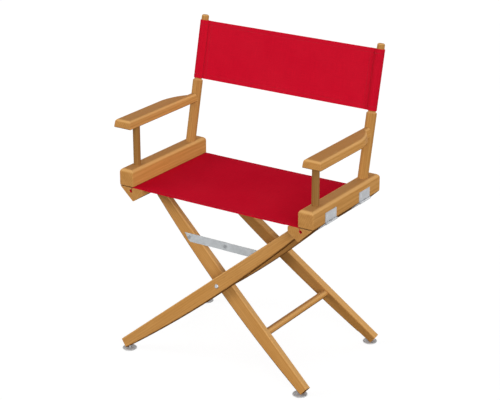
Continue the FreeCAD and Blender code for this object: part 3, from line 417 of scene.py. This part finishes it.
def thread(name, colour):
    """Twisted sewing thread."""
    material = bpy.data.materials.new(name)
    g = Graph(material)
    twist = g.noise(g.add("TexCoord").outputs["Object"], 2500, (1, 1, 1), 2.0, 0.5)
    tint = g.mix(g.spread(twist, 0.35, 0.65), toned(colour, 0.6), colour)
    rough = g.spread(twist, 0.3, 0.7, 0.5, 0.7)
    look = {"Base Color": tint, "Roughness": rough, "Normal": g.bump(twist, 0.4, TWIST_RELIEF)}
    look.update({"Specular IOR Level": 0.35, "Sheen Weight": 0.1, "Sheen Roughness": 0.4})
    g.finish(g.add("BsdfPrincipled", look).outputs[0])
    return material


def plated_steel(name, colour, roughness, metallic=1.0):
    """Zinc or nickel on steel: cloudy, finely rolled, brighter along its edges."""
    material = bpy.data.materials.new(name)
    g = Graph(material)
    where = g.add("TexCoord").outputs["Object"]
    clouds = g.noise(where, 70, (1, 1, 1), 4.0, 0.6)
    rolled = g.noise(where, 1400, (0.04, 1, 1), 3.0, 0.6)
    specks = g.spread(g.noise(where, 800, (1, 1, 1), 2.0, 0.5), 0.68, 0.78)
    tint = g.mix(g.spread(clouds, 0.3, 0.7), colour, toned(colour, 0.84))
    tint = g.mix(g.math("MULTIPLY", specks, 0.35), tint, linear(STEEL_SPECK))
    tint = g.mix(g.math("MULTIPLY", edge_mask(g, STEEL_EDGE), 0.5), tint, linear(STEEL_RUBBED))
    uneven = g.math("ADD", rolled, clouds)
    rough = g.spread(uneven, 0.7, 1.3, roughness - 0.07, roughness + 0.09)
    normal = g.bump(uneven, 0.15, STEEL_RELIEF)
    look = {"Base Color": tint, "Metallic": metallic, "Roughness": rough, "Normal": normal}
    g.finish(g.add("BsdfPrincipled", look).outputs[0])
    return material


# ---- stage ----------------------------------------------------------------------------------------


def seen_directly(g):
    """1 for what the camera sees, straight or in metal and glass."""
    path = g.add("LightPath")
    seen = g.math("MAXIMUM", path.outputs["Is Camera Ray"], path.outputs["Is Glossy Ray"])
    return g.math("MAXIMUM", seen, path.outputs["Is Transmission Ray"])


def floor():
    """A wide pale floor that shows as white with the chair's soft shadow on it."""
    half = FLOOR_HALF
    corners = [(-half, -half, 0), (half, -half, 0), (half, half, 0), (-half, half, 0)]
    mesh = bpy.data.meshes.new("floor")
    mesh.from_pydata(corners, [], [(0, 1, 2, 3)])
    plane = bpy.data.objects.new("floor", mesh)
    bpy.context.collection.objects.link(plane)
    material = bpy.data.materials.new("pale_floor")
    g = Graph(material)
    grain = g.noise(g.add("TexCoord").outputs["Object"], 3, (1, 1, 1), 2.0)
    shade = g.mix(grain, grey(FLOOR_GREYS[0]), grey(FLOOR_GREYS[1]))
    plain = g.add("BsdfDiffuse", {"Color": shade}).outputs[0]
    faint = g.add("BsdfDiffuse", {"Color": grey(SEEN_FLOOR_GREY)}).outputs[0]
    glow = g.add("Emission", {"Color": grey(1), "Strength": SEEN_FLOOR_GLOW}).outputs[0]
    white = g.add("AddShader", {0: faint, 1: glow}).outputs[0]
    g.finish(g.add("MixShader", {0: seen_directly(g), 1: plain, 2: white}).outputs[0])
    plane.data.materials.append(material)


def surroundings():
    """Surroundings that are white to the camera and light the chair evenly and softly."""
    world = bpy.data.worlds.new("studio")
    bpy.context.scene.world = world
    g = Graph(world)
    fill = g.add("Background", {"Color": grey(1), "Strength": FILL_STRENGTH}).outputs[0]
    white = g.add("Background", {"Color": grey(1), "Strength": 1.0}).outputs[0]
    both = g.add("MixShader", {0: seen_directly(g), 1: fill, 2: white}).outputs[0]
    g.add("OutputWorld", {"Surface": both})


def lamp(name, toward, strength, softness):
    """A wide, far lamp that shines from that direction."""
    light = bpy.data.lights.new(name, "SUN")
    light.energy = strength
    light.angle = math.radians(softness)
    thing = bpy.data.objects.new(name, light)
    thing.rotation_euler = Vector(toward).to_track_quat("Z", "Y").to_euler()
    bpy.context.collection.objects.link(thing)


def camera():
    """A long lens, from the chair's front right and above."""
    lens = bpy.data.cameras.new("view")
    lens.lens = LENS
    lens.sensor_width = SENSOR
    thing = bpy.data.objects.new("view", lens)
    thing.location = CAMERA_PLACE
    thing.rotation_euler = (math.radians(CAMERA_TILT), 0, math.radians(CAMERA_TURN))
    bpy.context.collection.objects.link(thing)
    bpy.context.scene.camera = thing


# ---- cloth ----------------------------------------------------------------------------------------


class Plane:
    """A flat section that a line of cloth is drawn in, and the way the cloth runs out of it."""

    def __init__(self, origin, first, second, out):
        self.origin, self.first, self.second, self.out = map(Vector, (origin, first, second, out))

    def at(self, point, along):
        """The place of a point of the section, that far along the cloth."""
        return self.origin + self.first * point[0] + self.second * point[1] + self.out * along


def arc(centre, radius, start, end, step):
    """Points round a centre from one angle to another, in degrees, no more than a step apart."""
    count = max(2, math.ceil(abs(end - start) / step))
    turns = [math.radians(start + (end - start) * i / count) for i in range(count + 1)]
    return [(centre[0] + radius * math.cos(t), centre[1] + radius * math.sin(t)) for t in turns]


def run(start, end, step):
    """Points from start to end, both included, about a step apart."""
    count = max(1, round(math.dist(start, end) / step))
    return [tuple(a + (b - a) * i / count for a, b in zip(start, end)) for i in range(count + 1)]


def joined(*parts):
    """Lines of points put end to end, without repeated points."""
    line = []
    for part in parts:
        for point in part:
            if not line or math.dist(line[-1], point) > SAME_POINT:
                line.append(point)
    return line


def side_of(line, i):
    """The way square to a line at one of its points, to its left."""
    a, b = line[max(i - 1, 0)], line[min(i + 1, len(line) - 1)]
    along = Vector((b[0] - a[0], b[1] - a[1])).normalized()
    return Vector((-along.y, along.x))


def lengths_along(line):
    """How far each point lies along its line."""
    total, out = 0.0, [0.0]
    for a, b in zip(line, line[1:]):
        total += math.dist(a, b)
        out.append(total)
    return out


def places_across(start, end):
    """Places across a cloth: closer together in its hems, and closest at its edges."""
    near = [start + i * FINE_STEP for i in range(round(FINE_HEM_WIDTH / FINE_STEP) + 1)]
    middle_start, middle_end = near[-1], end - FINE_HEM_WIDTH
    count = max(1, round((middle_end - middle_start) / COARSE_STEP))
    middle = [middle_start + (middle_end - middle_start) * i / count for i in range(1, count)]
    far = [start + end - v for v in reversed(near)]
    return [start, start + EDGE_STEP] + near[1:] + middle + far[:-1] + [end - EDGE_STEP, end]


def dip(distance):
    """How far cloth is pulled in at that distance from a row of stitches."""
    return STITCH_DIP * math.exp(-((distance / STITCH_DIP_WIDTH) ** 2))


def in_hem(from_edge, width):
    """1 inside a hem of that width, 0 further in, with a short slope between."""
    return 1 / (1 + math.exp((from_edge - width) / HEM_SLOPE))


def lip(from_edge):
    """The share of its thickness that cloth has at that distance from its edge."""
    return min(1.0, LIP_THICKNESS + from_edge / LIP_WIDTH)


class Cloth:
    """A closed sheet of cloth, with both faces, its edges and its rows of stitches in one mesh."""

    def __init__(self, name, plane, line, places, faces):
        """faces(i, v) gives how far both faces stand from the line at its point i and place v."""
        self.name, self.plane, self.line, self.places, self.faces = name, plane, line, places, faces
        self.sides = [side_of(line, i) for i in range(len(line))]
        self.lengths = lengths_along(line)
        self.vertices, self.polygons, self.maps, self.slots = [], [], [], []
        self.fill()

    def point(self, i, v, face):
        """A point of one face of the cloth."""
        off = self.faces(i, v)[face]
        here = Vector(self.line[i]) + self.sides[i] * off
        return self.plane.at(here, v)

    def fill(self):
        """Both faces and the four edges between them."""
        rows, columns = len(self.line), len(self.places)
        for face in (0, 1):
            for i in range(rows):
                for v in self.places:
                    self.vertices.append(self.point(i, v, face))
                    self.maps.append((self.lengths[i], v))

        def number(i, j, face):
            return face * rows * columns + i * columns + j

        for i in range(rows - 1):
            for j in range(columns - 1):
                for face in (0, 1):
                    ring = [number(i, j, face), number(i, j + 1, face)]
                    ring += [number(i + 1, j + 1, face), number(i + 1, j, face)]
                    self.polygons.append(ring if face else ring[::-1])
        for i in range(rows - 1):
            for j, forward in ((0, True), (columns - 1, False)):
                ring = [number(i, j, 1), number(i + 1, j, 1), number(i + 1, j, 0), number(i, j, 0)]
                self.polygons.append(ring if forward else ring[::-1])
        for j in range(columns - 1):
            for i, forward in ((0, False), (rows - 1, True)):
                ring = [number(i, j, 1), number(i, j + 1, 1), number(i, j + 1, 0), number(i, j, 0)]
                self.polygons.append(ring if forward else ring[::-1])
        self.slots = [0] * len(self.polygons)

    def stitch(self, middle, along, out):
        """One stitch: a short bowed bead of thread half sunk in the cloth."""
        beside = along.cross(out)
        first = len(self.vertices)
        for place, rise, swell in STITCH_RINGS:
            centre = middle + along * (place * STITCH_LENGTH) + out * (rise * STITCH_RADIUS)
            for k in range(STITCH_SIDES):
                turn = 2 * math.pi * k / STITCH_SIDES
                way = beside * math.cos(turn) + out * math.sin(turn)
                self.vertices.append(centre + way * (STITCH_RADIUS * swell))
                self.maps.append((0.0, 0.0))
        last = len(STITCH_RINGS) - 1
        for r in range(last):
            for k in range(STITCH_SIDES):
                ring = first + r * STITCH_SIDES
                a, b = ring + k, ring + (k + 1) % STITCH_SIDES
                self.polygons.append([a, b, b + STITCH_SIDES, a + STITCH_SIDES])
        self.polygons.append([first + k for k in reversed(range(STITCH_SIDES))])
        self.polygons.append([first + last * STITCH_SIDES + k for k in range(STITCH_SIDES)])
        self.slots += [1] * (last * STITCH_SIDES + 2)

    def place_at(self, length, v, face):
        """A point of one face, that far along the line, and the way out of the face there."""
        i = next(k for k in range(len(self.lengths) - 1) if self.lengths[k + 1] >= length - 1e-9)
        share = (length - self.lengths[i]) / (self.lengths[i + 1] - self.lengths[i])
        here = self.point(i, v, face).lerp(self.point(i + 1, v, face), share)
        side = self.sides[i].lerp(self.sides[i + 1], share)
        out = (self.plane.first * side.x + self.plane.second * side.y).normalized()
        return here, out if face else -out

    def sew_along(self, start, end, v):
        """A row of stitches along the line on both faces, at one place across the cloth."""
        count = int((end - start) / STITCH_PITCH)
        for face in (0, 1):
            for k in range(count):
                length = start + (k + 0.5) * (end - start) / count
                here, out = self.place_at(length, v, face)
                ahead, _ = self.place_at(length + A_BIT_AHEAD, v, face)
                self.stitch(here, (ahead - here).normalized(), out)

    def sew_across(self, length, start, end, faces):
        """A row of stitches across the cloth, at one place along the line."""
        count = int((end - start) / STITCH_PITCH)
        for face in faces:
            for k in range(count):
                here, out = self.place_at(length, start + (k + 0.5) * (end - start) / count, face)
                self.stitch(here, self.plane.out.normalized(), out)

    def build(self, materials):
        """The Blender object."""
        mesh = bpy.data.meshes.new(self.name)
        mesh.from_pydata(self.vertices, [], self.polygons)
        layer = mesh.uv_layers.new(name="cloth")
        for loop in mesh.loops:
            layer.data[loop.index].uv = self.maps[loop.vertex_index]
        for material in materials:
            mesh.materials.append(material)
        for polygon, slot in zip(mesh.polygons, self.slots):
            polygon.material_index = slot
            polygon.use_smooth = True
        mesh.set_sharp_from_angle(angle=math.radians(SHARP_ANGLE))
        piece = bpy.data.objects.new(self.name, mesh)
        bpy.context.collection.objects.link(piece)
        return piece


# ---- seat canvas ----------------------------------------------------------------------------------


def seat_line():
    """The seat's section from its right hem to its left one, in x and z."""
    rod_low, rod_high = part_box("right_seat_rod")
    rail_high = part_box("right_hinge_rail")[1]
    seat_rail_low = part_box("right_seat_rail")[0]
    rod = ((rod_low.x + rod_high.x) / 2, (rod_low.z + rod_high.z) / 2)
    loop = (rod_high.x - rod_low.x) / 2 + ROD_TO_CLOTH
    level = (rail_high.z + seat_rail_low.z) / 2
    mouth = (rod[0] - MOUTH_SHIFT, rail_high.z)
    up = Vector((mouth[0] - rod[0], mouth[1] - rod[1])).normalized()
    beside = Vector((up.y, -up.x))
    ply = (SEAT_CLOTH + NECK_GAP) / 2
    lean = math.degrees(math.atan2(up.y, up.x))

    outer_end = Vector(mouth) + beside * ply - up * HEM_END_SINK
    outer_neck = Vector(rod) + beside * ply + up * NECK_RISE
    inner_neck = Vector(rod) - beside * ply + up * NECK_RISE
    reach = (level - inner_neck.y) / up.y
    corner = inner_neck + up * reach
    turn = math.radians(180 - lean)
    bend_start = corner - up * (BEND_RADIUS * math.tan(turn / 2))
    centre = bend_start + Vector((-up.y, up.x)) * BEND_RADIUS
    hem = joined(
        run(tuple(outer_end), tuple(outer_neck), HEM_STEP),
        arc(rod, loop, lean - LOOP_OPENING, lean + LOOP_OPENING - 360, LOOP_ANGLE_STEP),
        run(tuple(inner_neck), tuple(bend_start), NECK_STEP),
        arc(tuple(centre), BEND_RADIUS, lean - 90, 90, BEND_ANGLE_STEP),
    )
    inner = (hem[-1][0] - NEAR_SEAT_WIDTH, level)
    half = joined(hem, run(hem[-1], inner, NEAR_STEP), run(inner, (0, level), COARSE_STEP))
    return half + [(-x, z) for x, z in reversed(half[:-1])]


def seat_faces(line, free, half_depth, row):
    """How far the seat's faces stand from its line: it sags between the rails and ripples near them."""

    def faces(i, v):
        x = abs(line[i][0])
        share = min(max((free - x) / FREE_BLEND, 0.0), 1.0)
        inside = share * share * (3 - 2 * share)
        from_edge = half_depth - abs(v)
        across = 1 - (x / free) ** 2 if x < free else 0.0
        along = 1 - EDGE_SAG_LOSS * (v / half_depth) ** 2
        fading = math.exp(-((free - x) / RIPPLE_REACH) ** 2)
        ripple = RIPPLE * math.sin(v * RIPPLE_TURN + RIPPLE_START) * fading * inside
        sag = SEAT_SAG * across * along + ripple
        pull = dip(abs(v) - row) * inside
        hem = SEAT_HEM_EXTRA * in_hem(from_edge, SEAT_HEM) * inside
        upper = -sag + SEAT_CLOTH / 2 * lip(from_edge) - pull
        lower = -sag - (SEAT_CLOTH / 2 + hem) * lip(from_edge) + pull
        return -upper, -lower

    return faces


def seat():
    """The seat canvas: hems round both rods, out through the slots, and nearly flat between the rails."""
    low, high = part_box("seat_canvas")
    line = seat_line()
    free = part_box("right_hinge_rail")[0].x - RAIL_CLEARANCE
    middle, half_depth = (low.y + high.y) / 2, (high.y - low.y) / 2
    row = half_depth - SEAT_HEM + STITCH_INSET
    plane = Plane((0, middle, 0), (1, 0, 0), (0, 0, 1), (0, 1, 0))
    faces = seat_faces(line, free, half_depth, row)
    cloth = Cloth("seat_canvas_sheet", plane, line, places_across(-half_depth, half_depth), faces)
    total = cloth.lengths[-1]
    margin = next(r for r, p in zip(cloth.lengths, line) if p[0] < free)
    for v in (-row, row):
        cloth.sew_along(margin, total - margin, v)
    piece = cloth.build([RED_SEAT, RED_THREAD])
    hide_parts("seat_canvas")
    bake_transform(piece)


# ---- back canvas ----------------------------------------------------------------------------------


def raked(up, forward):
    """A vector from a part up along the raked back posts and a part square to them, to the front."""
    rake = math.radians(POST_RAKE)
    along = Vector((0, math.sin(rake), math.cos(rake)))
    square = Vector((0, -math.cos(rake), math.sin(rake)))
    return along * up + square * forward


def back_frame():
    """The plane square to the back posts at the foot of the back canvas, and the right post's x."""
    post_low, post_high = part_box("right_back_post")
    rail_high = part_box("right_seat_rail")[1]
    foot = Vector((0, POST_FOOT_Y, rail_high.z)) + raked(BACK_FOOT_UP, 0)
    plane = Plane(foot, (1, 0, 0), raked(0, 1), raked(1, 0))
    return plane, (post_low.x + post_high.x) / 2


def back_faces(line, seams):
    """How far the back canvas's faces stand from its line; the hems are folded to the rear."""

    def faces(i, v):
        from_edge = min(v, BACK_DEPTH - v)
        pull = dip(from_edge - BACK_HEM + STITCH_INSET)
        pull = max([pull] + [dip(abs(line[i][0]) - x) for x in seams(i)])
        front = BACK_CLOTH / 2 * lip(from_edge) - pull
        rear_cloth = BACK_CLOTH / 2 + BACK_HEM_EXTRA * in_hem(from_edge, BACK_HEM)
        return -rear_cloth * lip(from_edge) + pull, front

    return faces


def seam_rows(seam):
    """Where the two rows of stitches near a seam are, as distances from the middle."""
    return seam - SEAM_ROW, seam - FLAP + STITCH_INSET


def tangent_angle(centre, radius, point, way):
    """The angle on a circle where a line to the point touches it."""
    across, up = point[0] - centre[0], point[1] - centre[1]
    spread = math.acos(radius / math.hypot(across, up))
    return math.degrees(math.atan2(up, across)) + way * math.degrees(spread)


def sleeve_line(post_x):
    """A right sleeve's section, from its flap behind the panel, round the post, to the seam in front."""
    seam = post_x - SEAM_TO_POST
    ply = PANEL_FORWARD - BACK_CLOTH - 2 * BACK_HEM_EXTRA - FLAP_GAP
    flap_end, rear_seam, front_seam = (seam - FLAP, ply), (seam, ply), (seam, PANEL_FORWARD)
    post = (post_x, 0.0)
    rear = tangent_angle(post, LOOP_RADIUS, rear_seam, 1)
    front = tangent_angle(post, LOOP_RADIUS, front_seam, -1)
    round_post = arc(post, LOOP_RADIUS, rear, front + 360, SLEEVE_ANGLE_STEP)
    return joined(
        run(flap_end, rear_seam, HEM_STEP),
        run(rear_seam, round_post[0], NEAR_STEP),
        round_post,
        run(round_post[-1], front_seam, NEAR_STEP),
    )


RED_SEAT = canvas("red_canvas_seat", linear(SEAT_RED))
RED_BACK = canvas("red_canvas_back", linear(BACK_RED))
RED_THREAD = thread("red_thread", linear(THREAD_RED))


def back_sleeve(word, side):
    """One end of the back canvas, sewn into a sleeve round its post."""
    plane, post_x = back_frame()
    depth = BACK_DEPTH
    line = sleeve_line(post_x)
    lengths = lengths_along(line)

    def seams(i):
        at_flap = lengths[i] < FLAP + SEAM_DIP_REACH
        at_front = lengths[i] > lengths[-1] - SEAM_DIP_REACH
        return seam_rows(post_x - SEAM_TO_POST) if at_flap or at_front else ()

    faces = back_faces(line, seams)
    if side > 0:
        drawn, sheet_faces = line, (lambda i, v: tuple(sorted(-f for f in faces(i, v))))
    else:
        drawn, sheet_faces = [(-x, y) for x, y in line], faces
    cloth = Cloth("back_canvas_%s_sleeve" % word, plane, drawn, places_across(0, depth), sheet_faces)
    for run_at in (FLAP - SEAM_ROW, STITCH_INSET):
        cloth.sew_across(run_at, ROW_END, depth - ROW_END, (0,) if side < 0 else (1,))
    row = BACK_HEM - STITCH_INSET
    for v in (row, depth - row):
        cloth.sew_along(FLAP + SLEEVE_ROW_START, cloth.lengths[-1] - PANEL_ROW_END, v)
    piece = cloth.build([RED_BACK, RED_THREAD])
    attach(piece, "%s_side" % word)


def panel_faces(line, seam):
    """How far the panel's faces stand from its line: it has a little slack, with low waves in it."""
    taut = back_faces(line, lambda i: seam_rows(seam))

    def faces(i, v):
        x = line[i][0]
        ends = 1 - (x / seam) ** 2
        wave_across = math.sin(x * SLACK_TURN_ACROSS + SLACK_START_ACROSS)
        wave_up = math.sin(v * SLACK_TURN_UP + SLACK_START_UP)
        slack = PANEL_SLACK * (1 + wave_across * wave_up) * ends
        rear, front = taut(i, v)
        return rear + slack, front + slack

    return faces


def back_panel():
    """The back canvas between its two seams."""
    plane, post_x = back_frame()
    depth = BACK_DEPTH
    seam = post_x - SEAM_TO_POST
    near = FINE_PANEL_WIDTH
    line = joined(
        run((-seam, PANEL_FORWARD), (near - seam, PANEL_FORWARD), FINE_STEP),
        run((near - seam, PANEL_FORWARD), (seam - near, PANEL_FORWARD), COARSE_STEP),
        run((seam - near, PANEL_FORWARD), (seam, PANEL_FORWARD), FINE_STEP),
    )
    cloth = Cloth("back_canvas_panel", plane, line, places_across(0, depth), panel_faces(line, seam))
    total = cloth.lengths[-1]
    row = BACK_HEM - STITCH_INSET
    for v in (row, depth - row):
        cloth.sew_along(PANEL_ROW_END, total - PANEL_ROW_END, v)
    for from_seam in (SEAM_ROW, FLAP - STITCH_INSET):
        for run_at in (from_seam, total - from_seam):
            cloth.sew_across(run_at, ROW_END, depth - ROW_END, (1,))
    piece = cloth.build([RED_BACK, RED_THREAD])
    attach(piece, "right_side")
    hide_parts("back_canvas")
    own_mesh(piece)


# ---- finishes of the CAD parts --------------------------------------------------------------------


def leg_woods():
    """A wood for each leg, with its grain along the leg and a figure of its own."""
    woods = {}
    for letter, side in (("a", 1), ("b", -1)):
        for end, way in (("front", 1), ("rear", -1)):
            name = "%s_leg_%s" % (end, letter)
            low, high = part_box(name)
            along = Vector((side * (high.x - low.x), way * (high.y - low.y), high.z - low.z))
            shift = (0.2 * side, 0.15 * way, 0)
            woods[name] = wood("wood_%s" % name, along.normalized(), shift, LEG_TONE)
    return woods


def finish_parts():
    """Gives every CAD part its material, by its leg, else by a word in its name, else by its slot."""
    across = wood("wood_along_rails", (0, 1, 0))
    upright = wood("wood_upright", (0, 0, 1), shift=(0.3, 0.1, 0.2), tone=UPRIGHT_TONE)
    leaning = wood("wood_raked", raked(1, 0), shift=(0.1, 0.5, 0.4), tone=RAKED_TONE)
    zinc = plated_steel("zinc_plate", linear(PLATE_GREY), roughness=0.55)
    strap = plated_steel("zinc_strap", linear(STRAP_GREY), roughness=0.55)
    rivet = plated_steel("zinc_rivet", linear(RIVET_GREY), roughness=0.5)
    nickel = plated_steel("glide_plate", linear(GLIDE_GREY), roughness=0.6, metallic=0.2)
    legs = leg_woods()
    kinds = (
        ("front_post", upright),
        ("arm_dowel", upright),
        ("back_post", leaning),
        ("leg_dowels", across),
        ("glide", nickel),
        ("brace_link", strap),
        ("brace", rivet),
    )
    slots = {"wood": across, "canvas": RED_BACK, "zinc_steel": zinc, "glide_steel": nickel}
    for name, part in frame["nodes"].items():
        chosen = legs.get(name) or next((m for word, m in kinds if word in name), None)
        for holder in part.material_slots:
            base = holder.material.name.split(".")[0] if holder.material else "wood"
            holder.material = chosen or slots.get(base, across)


bpy.context.scene.view_settings.view_transform = "Standard"
camera()
floor()
surroundings()
for lamp_name, toward, strength, softness in LAMPS:
    lamp(lamp_name, toward, strength, softness)
finish_parts()
seat()
back_panel()
for side_word, side_sign in SIDES:
    back_sleeve(side_word, side_sign)
